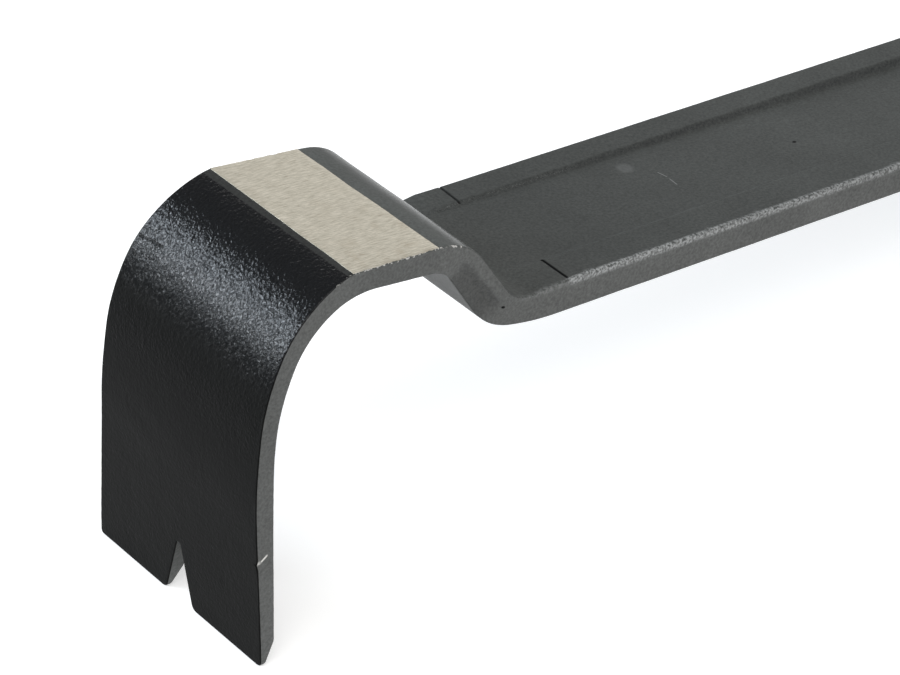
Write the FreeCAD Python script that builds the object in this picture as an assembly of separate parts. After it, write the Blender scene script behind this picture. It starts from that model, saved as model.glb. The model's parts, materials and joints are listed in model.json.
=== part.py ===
import FreeCAD, Part
import math
import os

from FreeCAD import Placement, Rotation, Vector

# Flat pry bar, one forging of flat spring steel, in millimetres.
#
# The bar is drawn first in its own drawing frame: X runs along the shank from the claw towards
# the chisel end, Y across the width and Z up, with Z = 0 on top of the shank's rails. At the end
# every zone is tipped about Y into the attitude in which the bar stands on a flat surface, on its
# claw edge and its chisel edge. The origin is then on that surface, midway along the bar and
# midway across it. The zones meet face to face and together make the one forging.

# ---- Driving dimensions; slopes, leans and exits are angles in degrees ---------------------------

BAR_LENGTH = 380.0        # along the shank, from the back of the claw to the chisel edge

# Shank: two rails at full height beside a web that gets thinner away from the die marks
SHANK_WIDTH = 35.0
SHANK_THICKNESS = 6.1
RAIL_WIDTH = 6.6
DIE_MARK_X = 15.6         # where the rails start, beside the gooseneck
FAR_MARK_X = 252.0        # where the rails end, beside the nail eye
ROOT_STEP = 0.35          # the root and the puller plate lie this far below the rails
WEB_DEPTH = 1.25          # deepest step from rail to web
WEB_DEEP_START_X = 112.0
WEB_DEEP_END_X = 205.0

# Upper outline of the gooseneck, the striking land and the hook
NECK_FOOT_X = 7.2
NECK_FOOT_RADIUS = 7.2
NECK_SLOPE = 52.0
NECK_TOP_RADIUS = 13.5
LAND_START_Z = 15.95
LAND_SLOPE = 3.4          # the land rises this much towards the claw
CREASE_X = -33.0          # crease between the land and the bend
BEND_ENTRY = 14.2         # slope of the bend just past the crease
BEND_EXIT = 66.0
BEND_RADIUS = 22.15
SHOULDER_EXIT = 86.0      # the bend opens out into the blade through a wider shoulder
SHOULDER_RADIUS = 36.0
BLADE_LEAN = 94.5         # the blade leans a little past square, towards the shank
BLADE_RADIUS = 110.0
CLAW_EDGE_Z = -51.9

# Lower outline of the same stretch
HEEL_ENTRY_SLOPE = 12.0
HEEL_ENTRY_RADIUS = 62.0
HEEL_RADIUS = 13.5
UNDER_NECK_SLOPE = 53.5
UNDER_NECK_RADIUS = 7.0
UNDER_LAND_START_Z = 11.25
UNDER_LAND_SLOPE = 6.0
UNDER_LAND_END_X = -27.5
INNER_BEND_RADIUS = 16.9
INNER_SHOULDER_RADIUS = 33.0
INNER_BLADE_RADIUS = 60.0
INNER_BLADE_LEAN = 92.8

# Width of the bar along the gooseneck and the hook
LAND_START_WIDTH = 37.1
CREASE_WIDTH = 38.4
SHOULDER_WIDTH = 42.5
FLARE_START_Z = -25.0     # from here the blade flares more to the claw edge
FLARE_START_WIDTH = 43.4
CLAW_WIDTH = 45.9

# Claw edge and nail slot
CLAW_EDGE_THICKNESS = 0.8
CLAW_BEVEL_HEIGHT = 4.6
CLAW_SLOT_DEPTH = 11.8
SLOT_MOUTH = 7.5
SLOT_ROOT = 0.9           # both nail slots end in this narrow flat

# Ground striking face
FACE_SKIN = 0.6

# Chisel end
CHISEL_START_X = 286.0
CHISEL_RADIUS = 225.0     # the chisel end curves gently towards the claw's side
CHISEL_WIDTH = 40.0
CHISEL_BEVEL_LENGTH = 5.0
CHISEL_BEVEL_THICKNESS = 3.1
CHISEL_EDGE_THICKNESS = 0.8
CHISEL_SLOT_DEPTH = 17.0

# Drop-shaped nail eye in the puller plate
EYE_X = 272.0
EYE_RADIUS = 5.5
EYE_TAIL_X = 259.0
EYE_TAIL_RADIUS = 1.4

BEND_SPANS = 5            # stretches between the cross-sections that guide each flaring arc
REACH = 100.0             # larger than the bar's width and height: size of the cutting blanks


# ---- Side view outlines ------------------------------------------------------------------------

class Outline:
    """A chain of straight runs and tangent arcs in the side view, in the plane Y = 0."""

    def __init__(self, x, z, heading):
        self.point = Vector(x, 0, z)
        self.heading = heading
        self.edges = []
        self.marks = {}

    def mark(self, name):
        """Name the present point as the joint between two zones."""
        self.marks[name] = (len(self.edges), self.point)

    def between(self, start, end):
        """The edges from one named joint to the next."""
        return self.edges[self.marks[start][0]:self.marks[end][0]]

    def joint(self, name):
        return self.marks[name][1]

    def ahead(self, turn=0.0):
        angle = math.radians(self.heading + turn)
        return Vector(math.cos(angle), 0, math.sin(angle))

    def line_to(self, point):
        self.edges.append(Part.makeLine(self.point, point))
        self.point = point

    def run_to_x(self, x):
        self.line_to(self.point + self.ahead() * ((x - self.point.x) / self.ahead().x))

    def run_to_z(self, z):
        self.line_to(self.point + self.ahead() * ((z - self.point.z) / self.ahead().z))

    def turn_to(self, heading, radius):
        """Arc to a new heading in degrees; a larger heading turns left."""
        turn = heading - self.heading
        spoke = math.copysign(radius, turn)
        centre = self.point + self.ahead(90.0) * spoke
        middle = centre - self.ahead(90.0 + turn / 2.0) * spoke
        end = centre - self.ahead(90.0 + turn) * spoke
        self.edges.append(Part.Arc(self.point, middle, end).toShape())
        self.point = end
        self.heading = heading

    def arc_to(self, point):
        """Arc that leaves along the present heading and ends at a point."""
        chord = point - self.point
        half_turn = math.degrees(math.atan2(chord.z, chord.x)) - self.heading
        radius = chord.Length / (2.0 * math.sin(math.radians(abs(half_turn))))
        self.turn_to(self.heading + 2.0 * half_turn, radius)


def arc_height(radius, slope_a, slope_b):
    """Height gained along an arc between two slopes."""
    return radius * abs(math.cos(math.radians(slope_a)) - math.cos(math.radians(slope_b)))


def upper_outline():
    """Top of the bar from the die marks over the land and round the hook to the claw edge."""
    line = Outline(DIE_MARK_X, -ROOT_STEP, 180.0)
    line.mark("die_mark")
    line.run_to_x(NECK_FOOT_X)
    line.mark("foot")
    line.turn_to(180.0 - NECK_SLOPE, NECK_FOOT_RADIUS)
    line.run_to_z(LAND_START_Z - arc_height(NECK_TOP_RADIUS, NECK_SLOPE, LAND_SLOPE))
    line.turn_to(180.0 - LAND_SLOPE, NECK_TOP_RADIUS)
    line.mark("land")
    line.run_to_x(CREASE_X)
    line.mark("crease")
    line.heading = 180.0 + BEND_ENTRY
    line.turn_to(180.0 + BEND_EXIT, BEND_RADIUS)
    line.turn_to(180.0 + SHOULDER_EXIT, SHOULDER_RADIUS)
    line.mark("shoulder")
    line.turn_to(180.0 + BLADE_LEAN, BLADE_RADIUS)
    line.run_to_z(CLAW_EDGE_Z + CLAW_SLOT_DEPTH)
    line.mark("slot_root")
    line.run_to_z(CLAW_EDGE_Z)
    line.mark("edge")
    return line


def lower_outline(claw_edge):
    """Underside of the bar over the same stretch, ending beside a given claw edge point."""
    line = Outline(DIE_MARK_X, -SHANK_THICKNESS, 180.0)
    line.mark("die_mark")
    line.turn_to(180.0 - HEEL_ENTRY_SLOPE, HEEL_ENTRY_RADIUS)
    line.mark("foot")
    line.turn_to(180.0 - UNDER_NECK_SLOPE, HEEL_RADIUS)
    neck_arc_height = arc_height(UNDER_NECK_RADIUS, UNDER_NECK_SLOPE, UNDER_LAND_SLOPE)
    line.run_to_z(UNDER_LAND_START_Z - neck_arc_height)
    line.turn_to(180.0 - UNDER_LAND_SLOPE, UNDER_NECK_RADIUS)
    line.mark("land")
    line.run_to_x(UNDER_LAND_END_X)
    line.turn_to(180.0 + BEND_ENTRY, INNER_BEND_RADIUS)
    line.mark("crease")
    line.turn_to(180.0 + BEND_EXIT, INNER_BEND_RADIUS)
    line.turn_to(180.0 + SHOULDER_EXIT, INNER_SHOULDER_RADIUS)
    line.mark("shoulder")
    line.turn_to(180.0 + INNER_BLADE_LEAN, INNER_BLADE_RADIUS)
    line.run_to_z(CLAW_EDGE_Z + CLAW_SLOT_DEPTH)
    line.mark("slot_root")
    line.run_to_z(CLAW_EDGE_Z + CLAW_BEVEL_HEIGHT)
    line.line_to(claw_edge + Vector(CLAW_EDGE_THICKNESS, 0, 0))
    line.mark("edge")
    return line


def face_from(edges):
    return Part.Face(Part.Wire(Part.__sortEdges__(edges)))


def zone_face(upper, lower, start, end):
    """Side view of one zone, between two named joints."""
    ends = [Part.makeLine(upper.joint(name), lower.joint(name)) for name in (start, end)]
    return face_from(upper.between(start, end) + lower.between(start, end) + ends)


def polygon(points):
    return Part.Face(Part.makePolygon(points + points[:1]))


# ---- Solids from the outlines --------------------------------------------------------------------

def across(face, width):
    """Extrude a side view over a width that is centred on Y = 0."""
    face.translate(Vector(0, -width / 2.0, 0))
    return face.extrude(Vector(0, width, 0))


def plan_blank(stations):
    """Upright blank whose plan is given by (x, width) stations."""
    left = [Vector(x, width / 2.0, -REACH) for x, width in stations]
    right = [Vector(x, -width / 2.0, -REACH) for x, width in reversed(stations)]
    return polygon(left + right).extrude(Vector(0, 0, 2.0 * REACH))


def front_blank(stations):
    """Lengthwise blank whose front view is given by (z, width) stations."""
    left = [Vector(-REACH, width / 2.0, z) for z, width in stations]
    right = [Vector(-REACH, -width / 2.0, z) for z, width in reversed(stations)]
    return polygon(left + right).extrude(Vector(2.0 * REACH, 0, 0))


def half(solid, side):
    """Keep one side of the bar's middle plane: side is 1 for left and -1 for right."""
    corner = Vector(-REACH, min(0.0, side * REACH), -REACH)
    return solid.common(Part.makeBox(BAR_LENGTH + 2.0 * REACH, REACH, 2.0 * REACH, corner))


def neck_zones(upper, lower):
    """Root, gooseneck and striking land, with the ground skin on top of the land."""
    land_x = upper.joint("land").x
    blank = plan_blank([(CREASE_X, CREASE_WIDTH), (land_x, LAND_START_WIDTH), (DIE_MARK_X, SHANK_WIDTH)])
    joints = {
        "shank_root": ("die_mark", "foot"),
        "gooseneck": ("foot", "land"),
        "striking_land": ("land", "crease"),
    }
    zones = {}
    for name, (start, end) in joints.items():
        zones[name] = across(zone_face(upper, lower, start, end), REACH).common(blank)
    corner_a = upper.joint("land")
    corner_b = upper.joint("crease")
    down = (lower.joint("land") - corner_a).normalize() * FACE_SKIN
    inwards = (lower.joint("crease") - corner_b).normalize() * FACE_SKIN
    skin = across(polygon([corner_a, corner_b, corner_b + inwards, corner_a + down]), REACH)
    zones["striking_face"] = zones["striking_land"].common(skin)
    zones["striking_land"] = zones["striking_land"].cut(skin)
    return zones


def cross_section(top, bottom, width):
    """Four-cornered section wire between a top point and a bottom point."""
    offset = Vector(0, width / 2.0, 0)
    corners = [top + offset, top - offset, bottom - offset, bottom + offset]
    return Part.makePolygon(corners + corners[:1])


def point_along(edge, fraction):
    span = edge.LastParameter - edge.FirstParameter
    return edge.valueAt(edge.FirstParameter + fraction * span)


def claw_bend(upper, lower):
    """Loft round the bend, whose width grows evenly with the angle that it has turned."""
    exits = [BEND_ENTRY, BEND_EXIT, SHOULDER_EXIT]
    pairs = zip(upper.between("crease", "shoulder"), lower.between("crease", "shoulder"))
    sections = [cross_section(upper.joint("crease"), lower.joint("crease"), CREASE_WIDTH)]
    for number, (outer, inner) in enumerate(pairs):
        for step in range(1, BEND_SPANS + 1):
            fraction = step / BEND_SPANS
            turned = exits[number] + fraction * (exits[number + 1] - exits[number])
            flare = (turned - BEND_ENTRY) / (SHOULDER_EXIT - BEND_ENTRY)
            width = CREASE_WIDTH + flare * (SHOULDER_WIDTH - CREASE_WIDTH)
            sections.append(cross_section(point_along(outer, fraction), point_along(inner, fraction), width))
    return Part.makeLoft(sections, True, False)


def claw_zones(upper, lower):
    """Bend, blade and the two tines beside the nail slot."""
    blank = front_blank([
        (upper.joint("shoulder").z, SHOULDER_WIDTH),
        (FLARE_START_Z, FLARE_START_WIDTH),
        (CLAW_EDGE_Z, CLAW_WIDTH),
    ])
    slot = front_blank([(CLAW_EDGE_Z + CLAW_SLOT_DEPTH, SLOT_ROOT), (CLAW_EDGE_Z, SLOT_MOUTH)])
    blade = across(zone_face(upper, lower, "shoulder", "slot_root"), REACH)
    tines = across(zone_face(upper, lower, "slot_root", "edge"), REACH).common(blank).cut(slot)
    return {
        "claw_bend": claw_bend(upper, lower),
        "claw_blade": blade.common(blank),
        "claw_tine_left": half(tines, 1),
        "claw_tine_right": half(tines, -1),
    }


def shank_web():
    """Middle of the shank, which thins from both die marks towards its middle stretch."""
    profile = polygon([
        Vector(DIE_MARK_X, 0, -SHANK_THICKNESS),
        Vector(FAR_MARK_X, 0, -SHANK_THICKNESS),
        Vector(FAR_MARK_X, 0, -ROOT_STEP),
        Vector(WEB_DEEP_END_X, 0, -WEB_DEPTH),
        Vector(WEB_DEEP_START_X, 0, -WEB_DEPTH),
        Vector(DIE_MARK_X, 0, -ROOT_STEP),
    ])
    return across(profile, SHANK_WIDTH - 2.0 * RAIL_WIDTH)


def shank_rail(side):
    """One of the two full-height rails: side is 1 for left and -1 for right."""
    inner_y = SHANK_WIDTH / 2.0 - RAIL_WIDTH
    corner = Vector(DIE_MARK_X, min(side * inner_y, side * SHANK_WIDTH / 2.0), -SHANK_THICKNESS)
    return Part.makeBox(FAR_MARK_X - DIE_MARK_X, RAIL_WIDTH, SHANK_THICKNESS, corner)


def nail_eye():
    """Cutter for the drop-shaped eye: two round ends joined along their common tangents."""
    distance = EYE_X - EYE_TAIL_X
    lean = (EYE_RADIUS - EYE_TAIL_RADIUS) / distance
    normal = Vector(-lean, math.sqrt(1.0 - lean * lean), 0)
    mirrored = Vector(normal.x, -normal.y, 0)
    depth = Vector(0, 0, -SHANK_THICKNESS)
    round_end = depth + Vector(EYE_X, 0, 0)
    tail = depth + Vector(EYE_TAIL_X, 0, 0)
    sides = polygon([
        round_end + normal * EYE_RADIUS,
        tail + normal * EYE_TAIL_RADIUS,
        tail + mirrored * EYE_TAIL_RADIUS,
        round_end + mirrored * EYE_RADIUS,
    ]).extrude(-depth)
    ends = [
        Part.makeCylinder(EYE_RADIUS, SHANK_THICKNESS, round_end),
        Part.makeCylinder(EYE_TAIL_RADIUS, SHANK_THICKNESS, tail),
    ]
    return sides.fuse(ends)


def puller_plate():
    """Flat plate with the nail eye, between the rails and the chisel blade."""
    size = Vector(CHISEL_START_X - FAR_MARK_X, SHANK_WIDTH, SHANK_THICKNESS - ROOT_STEP)
    corner = Vector(FAR_MARK_X, -SHANK_WIDTH / 2.0, -SHANK_THICKNESS)
    return Part.makeBox(size.x, size.y, size.z, corner).cut(nail_eye())


def chisel_face(edge_x):
    """Side view of the chisel end: it bends and tapers, then a bevel on top makes the edge."""
    def heading_at(x):
        return -math.degrees(math.asin((x - CHISEL_START_X) / CHISEL_RADIUS))

    lower = Outline(CHISEL_START_X, -SHANK_THICKNESS, 0.0)
    lower.turn_to(heading_at(edge_x - CHISEL_BEVEL_LENGTH), CHISEL_RADIUS)
    bevel_start = lower.point + lower.ahead(90.0) * CHISEL_BEVEL_THICKNESS
    lower.turn_to(heading_at(edge_x), CHISEL_RADIUS)
    upper = Outline(CHISEL_START_X, -ROOT_STEP, 0.0)
    upper.arc_to(bevel_start)
    upper.line_to(lower.point + Vector(0, 0, CHISEL_EDGE_THICKNESS))
    start = Part.makeLine(Vector(CHISEL_START_X, 0, -ROOT_STEP), Vector(CHISEL_START_X, 0, -SHANK_THICKNESS))
    end = Part.makeLine(upper.point, lower.point)
    return face_from(upper.edges + lower.edges + [start, end])


def chisel_zones(edge_x):
    """Chisel blade and the two tines beside its nail slot."""
    slot_root_x = edge_x - CHISEL_SLOT_DEPTH
    root_width = CHISEL_WIDTH + (SHANK_WIDTH - CHISEL_WIDTH) * CHISEL_SLOT_DEPTH / (edge_x - CHISEL_START_X)
    chisel = across(chisel_face(edge_x), REACH)
    blade = chisel.common(plan_blank([(CHISEL_START_X, SHANK_WIDTH), (slot_root_x, root_width)]))
    tines = chisel.common(plan_blank([(slot_root_x, root_width), (edge_x, CHISEL_WIDTH)]))
    tines = tines.cut(plan_blank([(slot_root_x, SLOT_ROOT), (edge_x, SLOT_MOUTH)]))
    return {
        "chisel_blade": blade,
        "chisel_tine_left": half(tines, 1),
        "chisel_tine_right": half(tines, -1),
    }


# ---- Assembly and attitude -----------------------------------------------------------------------

def build_zones():
    """All zones of the forging, in the drawing frame."""
    upper = upper_outline()
    lower = lower_outline(upper.joint("edge"))
    zones = neck_zones(upper, lower)
    zones.update(claw_zones(upper, lower))
    zones["shank_web"] = shank_web()
    zones["shank_rail_left"] = shank_rail(1)
    zones["shank_rail_right"] = shank_rail(-1)
    zones["puller_plate"] = puller_plate()
    claw_back_x = zones["claw_blade"].BoundBox.XMin
    zones.update(chisel_zones(claw_back_x + BAR_LENGTH))
    return zones


def resting_placement(zones):
    """Tip the bar onto its claw edge and chisel edge, and centre it over the origin."""
    claw = zones["claw_tine_left"].BoundBox
    chisel = zones["chisel_tine_left"].BoundBox
    claw_foot_x = upper_outline().joint("edge").x + CLAW_EDGE_THICKNESS
    tip = math.degrees(math.atan2(chisel.ZMin - claw.ZMin, chisel.XMax - claw_foot_x))
    attitude = Placement(Vector(), Rotation(Vector(0, 1, 0), tip))
    whole = Part.makeCompound(list(zones.values()))
    whole.Placement = attitude
    box = whole.optimalBoundingBox(False)
    centring = Placement(Vector(-box.Center.x, 0, -box.ZMin), Rotation())
    return centring.multiply(attitude)


def main():
    os.makedirs("parts", exist_ok=True)
    zones = build_zones()
    placement = resting_placement(zones)
    for name, zone in zones.items():
        zone.Placement = placement.multiply(zone.Placement)
        zone.exportStep("parts/" + name + ".step")


main()
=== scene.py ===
import json
import math

import bpy
import numpy as np
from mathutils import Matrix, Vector, kdtree, noise
from mathutils.geometry import delaunay_2d_cdt


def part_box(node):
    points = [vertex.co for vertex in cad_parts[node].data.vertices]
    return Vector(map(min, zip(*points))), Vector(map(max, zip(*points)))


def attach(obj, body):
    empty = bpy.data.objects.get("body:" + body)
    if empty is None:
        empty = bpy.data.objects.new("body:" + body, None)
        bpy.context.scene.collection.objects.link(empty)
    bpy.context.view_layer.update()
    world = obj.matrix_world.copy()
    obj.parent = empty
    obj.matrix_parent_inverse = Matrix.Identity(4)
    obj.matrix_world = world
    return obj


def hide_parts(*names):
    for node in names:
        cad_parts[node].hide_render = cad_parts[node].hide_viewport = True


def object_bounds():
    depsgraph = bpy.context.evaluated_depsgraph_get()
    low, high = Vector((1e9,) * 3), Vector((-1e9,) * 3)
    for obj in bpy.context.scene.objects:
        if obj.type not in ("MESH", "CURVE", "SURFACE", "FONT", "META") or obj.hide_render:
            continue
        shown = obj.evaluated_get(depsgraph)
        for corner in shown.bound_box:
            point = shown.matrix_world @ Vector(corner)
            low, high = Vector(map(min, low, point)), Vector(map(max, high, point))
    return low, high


# Looks of the flat pry bar: one black coated forging and the bare steel of its ground striking face.
#
# Shapes are drawn in the bar's own drawing frame, in millimetres: X along the shank away from the
# claw, Z up from the top of the rails. Every surface point is addressed by three numbers: s, the
# distance along the bar from the claw edge, y across it, and the depth below its upper surface.

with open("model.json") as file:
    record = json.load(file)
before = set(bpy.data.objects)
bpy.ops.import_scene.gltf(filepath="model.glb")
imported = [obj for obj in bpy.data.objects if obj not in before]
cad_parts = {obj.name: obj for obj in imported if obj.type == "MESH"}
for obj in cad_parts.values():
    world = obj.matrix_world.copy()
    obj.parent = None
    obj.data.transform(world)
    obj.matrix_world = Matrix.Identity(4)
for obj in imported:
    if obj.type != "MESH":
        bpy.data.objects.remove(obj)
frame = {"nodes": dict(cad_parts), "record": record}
CAD_LOW, CAD_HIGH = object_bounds()

MM = 0.001

# ---- Side view and plan of the bar, in millimetres and degrees ----

SHANK_THICKNESS = 6.1
RAIL_WIDTH = 6.6
DIE_MARK_X = 15.6
FAR_MARK_X = 252.0
ROOT_STEP = 0.35
WEB_DEPTH = 1.25
WEB_DEEP_START_X = 112.0
WEB_DEEP_END_X = 205.0

NECK_FOOT_X = 7.2
NECK_FOOT_RADIUS = 7.2
NECK_SLOPE = 52.0
NECK_TOP_RADIUS = 13.5
LAND_START_Z = 15.95
LAND_SLOPE = 3.4
CREASE_X = -33.0
BEND_ENTRY = 14.2
BEND_EXIT = 66.0
BEND_RADIUS = 22.15
SHOULDER_EXIT = 86.0
SHOULDER_RADIUS = 36.0
BLADE_LEAN = 94.5
BLADE_RADIUS = 110.0
CLAW_EDGE_Z = -51.9

HEEL_ENTRY_SLOPE = 12.0
HEEL_ENTRY_RADIUS = 62.0
HEEL_RADIUS = 13.5
UNDER_NECK_SLOPE = 53.5
UNDER_NECK_RADIUS = 7.0
UNDER_LAND_START_Z = 11.25
UNDER_LAND_SLOPE = 6.0
UNDER_LAND_END_X = -27.5
INNER_BEND_RADIUS = 16.9
INNER_SHOULDER_RADIUS = 33.0
INNER_BLADE_RADIUS = 60.0
INNER_BLADE_LEAN = 92.8

SHANK_WIDTH = 35.0
CREASE_WIDTH = 38.4
FLARE_START_Z = -25.0

CLAW_EDGE_THICKNESS = 0.8
CLAW_BEVEL_HEIGHT = 4.6
CLAW_SLOT_DEPTH = 11.8
SLOT_MOUTH = 7.5
SLOT_ROOT = 0.9
SLOT_ROOT_CORNER = SLOT_ROOT * 0.45

CHISEL_START_X = 286.0
CHISEL_RADIUS = 225.0
CHISEL_BEVEL_LENGTH = 5.0
CHISEL_BEVEL_THICKNESS = 3.1
CHISEL_EDGE_THICKNESS = 0.8
CHISEL_SLOT_DEPTH = 17.0
BAR_LENGTH = 380.0

EYE_X = 272.0
EYE_RADIUS = 5.5
EYE_TAIL_X = 259.0
EYE_TAIL_RADIUS = 1.4

HOOK_JOINTS = (
    "edge", "bevel", "slot_root", "flare", "shoulder", "bend", "crease", "land", "neck_top",
    "neck_foot", "foot", "die_mark",
)
TAIL_JOINTS = ("die_mark", "chisel", "chisel_bevel", "chisel_edge")
WIDTHS = {
    "edge": 45.9, "flare": 43.4, "shoulder": 42.5, "bend": 41.36, "crease": CREASE_WIDTH,
    "land": 37.1, "die_mark": SHANK_WIDTH, "chisel": SHANK_WIDTH, "chisel_edge": 40.0,
}

# ---- Surface detail, in millimetres ----

STRETCH_STEPS = 80
WIDTH_STEP = 0.5  # the plan's corners are faired over this step times twice the reach
WIDTH_REACH = 6

HOOK_SPACING = 0.5  # mesh spacing on the hook and the gooseneck
SHANK_SPACING = 1.0
EYE_SPACING = 0.6
MARK_SPACING = 0.07
FINE_BEYOND_MARK = 20.0  # the fine mesh goes on this far past the die marks
OUTLINE_STEP = 0.1
SAME_PLACE = 1e-6
CLOSE_ENOUGH = 1e-7
INSIDE_ONLY = 2  # the triangulation keeps what lies inside the outlines
RIM_CLEARANCE = 0.45  # no inner point closer to a rim than this share of the spacing
ROLL_SHARE = 0.42  # a rolled edge takes at most this share of the thickness
ROUND_STEPS = 4  # rings round each long edge
UNDERSIDE = 2.0  # side value of points on the bottom sheet
SIDE_STEPS = 11  # rings down the side
WALL_SHARE = (SHANK_WIDTH / 2.0 - RAIL_WIDTH) / (SHANK_WIDTH / 2.0)
ACROSS_GRID = ((0.0, WALL_SHARE - 0.11, WALL_SHARE + 0.12, 0.985), (0.03, 0.0085, 0.027))

OUTER_CORNER = 0.8  # corner radii in plan
NEAR_CLAW_CORNER = 1.1
TINE_CORNER = 1.4
CORNER_CLEAR_CLAW = 2.0  # no other outline points this near the ends, where the corners are
CORNER_CLEAR_CHISEL = 2.5
EYE_STEPS = (28, 9)  # steps round the eye's big end and its tail
EDGE_ROUND_HOOK = 0.24  # roll-over of the long edges
EDGE_ROUND_SHANK = 0.34
EDGE_ROUND_UNDER = 0.22
SWELL = 0.14  # coated sides stand this far outside the drawn width
SWELL_RATE = 0.035  # growth of the swell along the bar from the claw edge

MARK_WIDTH = 0.30  # transverse die mark, and how deep it is stamped
MARK_DEPTH = 0.30
MARK_FLOOR = 0.09  # half width of the mark's flat floor
MARK_SHORTER = -0.3  # the mark stops short of the web by this much
MARK_END_NEAR = 16.8
WALL_WIDTH = 1.3  # sloping wall from a rail down to the web
WEB_SHIFT = 0.9  # the web lies this far towards the +y side
FAR_EDGE_RISE = 0.2  # the +y rail lifts towards its edge
RAIL_FADE_X = (5.0, 9.0)  # the rails rise out of the neck's foot between these
WEB_START_DEPTH = 0.12  # web below the root's level at the die marks
RAIL_END_FADE = 0.25  # length over which the rails end at the far mark
MARK_SEAM = 0.35  # the mesh is fine this far to either side of a die mark

FACE_CHISEL_SIDE = 0.1  # margins of the ground face from the land joint and the crease
FACE_CLAW_SIDE = 0.05
FACE_SKEW = 0.5
FACE_PROUD = 0.03
FACE_THICKNESS = 0.45
FACET_NEAR = 0.9  # dark facet between the crease and the bend, at the -y and +y sides
FACET_FAR = 1.35
FACET_DROP = 0.07
FACET_LAP = 0.1  # it reaches this far under the ground face
FACE_STEPS = 96  # mesh columns across the ground face
FACE_ROLL = 0.04
FACE_STEP_ALONG = 0.3
FACE_EDGE_GAP = 0.06  # steel stops this far inside the edge, and chips reach further in
FACE_EDGE_CHIP = 0.32

NECK_FAR_FALL = 0.6  # the neck's crest falls away by this much towards the +y side
NECK_FAR_THIN = 0.55  # and its underside rises by this much
OUTER_SIDES = 14.0  # sides further out than this are the bar's own, not a slot's or the eye's
STEP_DEPTH = 2.3  # the trimmed side steps in below this depth on the gooseneck
STEP_HEIGHT = 1.1
STEP_IN = 0.5
STEP_RETURN = 0.7  # share of the step that is lost again further down
NICK_S = 20.4  # nick in the blade's -y edge
NICK_REACH = 0.8
NICK_IN = 0.4
NICK_DEPTH = 1.2

# Stretches of the bar, as four (joint, offset) places: a feature fades in between the first two
# and out between the last two.
GROUND_SLOT = (("crease", -0.2), ("crease", 0.4), ("land", -0.2), ("land", 2.0))
GROUND_SMOOTH = (("crease", -3.0), ("crease", -1.5), ("land", 0.0), ("land", 3.0))
CREST_SHEEN = (("land", 1.5), ("land", 5.0), ("neck_top", 4.0), ("foot", 0.0))
NECK_THIN = (("land", 1.0), ("land", 5.0), ("neck_foot", -4.0), ("neck_foot", 2.0))
NECK_FALL = (("neck_top", -4.0), ("neck_top", 1.5), ("neck_top", 4.5), ("neck_foot", 0.0))
TRIM_STEP = (("neck_top", -4.0), ("neck_top", 0.5), ("neck_foot", 1.0), ("neck_foot", 4.0))
TRIM_SHADE = (("neck_top", -3.5), ("neck_top", 1.0), ("neck_foot", 0.0), ("neck_foot", 4.0))
ROOT_POCKS = (("foot", 0.0), ("die_mark", -8.0), ("die_mark", -1.0), ("die_mark", 1.0))
WIDE_ROLL = (("foot", 0.0), ("die_mark", 2.0), ("chisel", 0.0), ("chisel_bevel", 0.0))

# Unevenness of a surface, as layers of (grain size, seed, height) in millimetres.
WALL_RAGGED = ((1.3, 5.0, 0.26), (0.6, 7.0, 0.14))
FORGED_WAVES = ((9.0, 21.0, 0.05), (3.0, 33.0, 0.018))
HOOK_PEEL = ((1.2, 41.0, 0.016),)
HOOK_PEEL_FADE = 3.0
POCKS = ((0.9, 51.0, 0.05),)
BAND_RAGGED = ((1.6, 61.0, 0.25),)

# Unevenness of an edge, as layers of (waves per millimetre, seed, height).
EDGE_WANDER = ((0.11, 3.0, 0.06), (0.7, 9.0, 0.035))
FACE_RUN_OUT = ((0.12, 1.0, 0.16), (0.9, 4.0, 0.05))
FACE_CHIPS = ((0.9, 2.0, 1.0), (2.3, 5.0, 0.4))

# ---- Colours and marks of the coat and the bare steel ----

HOOK_BLACK = (0.0030, 0.0035, 0.0043, 1.0)
SATIN_BLACK = (0.0052, 0.0054, 0.0052, 1.0)
# Painted sheen: the facet beside the crease is a grey copy of the black coat, for the light it catches
# facing up.
FACET_PAINTED_SHEEN_GREY = (0.034, 0.035, 0.034, 1.0)
# Painted sheen: the shank's top is a grey copy of the black coat, lighter for the lamps' sheen on it.
SHANK_PAINTED_SHEEN_GREY = (0.060, 0.0635, 0.0615, 1.0)
# Painted reflection: the sides are a still lighter copy of the black coat, for the pale floor they face.
SIDE_PAINTED_REFLECTION_GREY = (0.108, 0.1105, 0.108, 1.0)
# Painted shade on the wall from the +y rail down to the web.
WALL_PAINTED_SHADE_GREY = (0.030, 0.031, 0.034, 1.0)
# Pale for the painted highlight along the -y rolled edge and the painted glints on the wall, and for the
# real scuff.
PAINTED_HIGHLIGHT_AND_SCUFF_PALE = (0.37, 0.38, 0.38, 1.0)
# Black for the painted shade in the die marks, and for the crack, pits and specks.
SHADE_PIT_AND_CRACK_BLACK = (0.006, 0.006, 0.006, 1.0)
BARE_STEEL = (0.62, 0.61, 0.58, 1.0)
STEEL_LIGHT = (0.62, 0.59, 0.51, 1.0)
STEEL_DARK = (0.30, 0.28, 0.225, 1.0)
STEEL_BROWN = (0.33, 0.285, 0.215, 1.0)

CREST_GLOSS = 0.9  # how glossy the coat lies on the gooseneck's crest and on the underside
UNDERSIDE_GLOSS = 0.35
CHIPS_BEFORE_CREASE = 0.7
CHIP_FADE = 1.6  # chips and the painted edge highlight fade down the side at these rates per millimetre
BAND_FADE = 1.2
BAND_BEFORE_MARK = 0.3
BAND_REACH = (0.7, 0.3)  # the painted edge highlight fades out between these distances from the edge
# the painted shade on the wall deepens between these x places along the shank
WALL_DARKENS_X = (30.0, 55.0)

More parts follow.
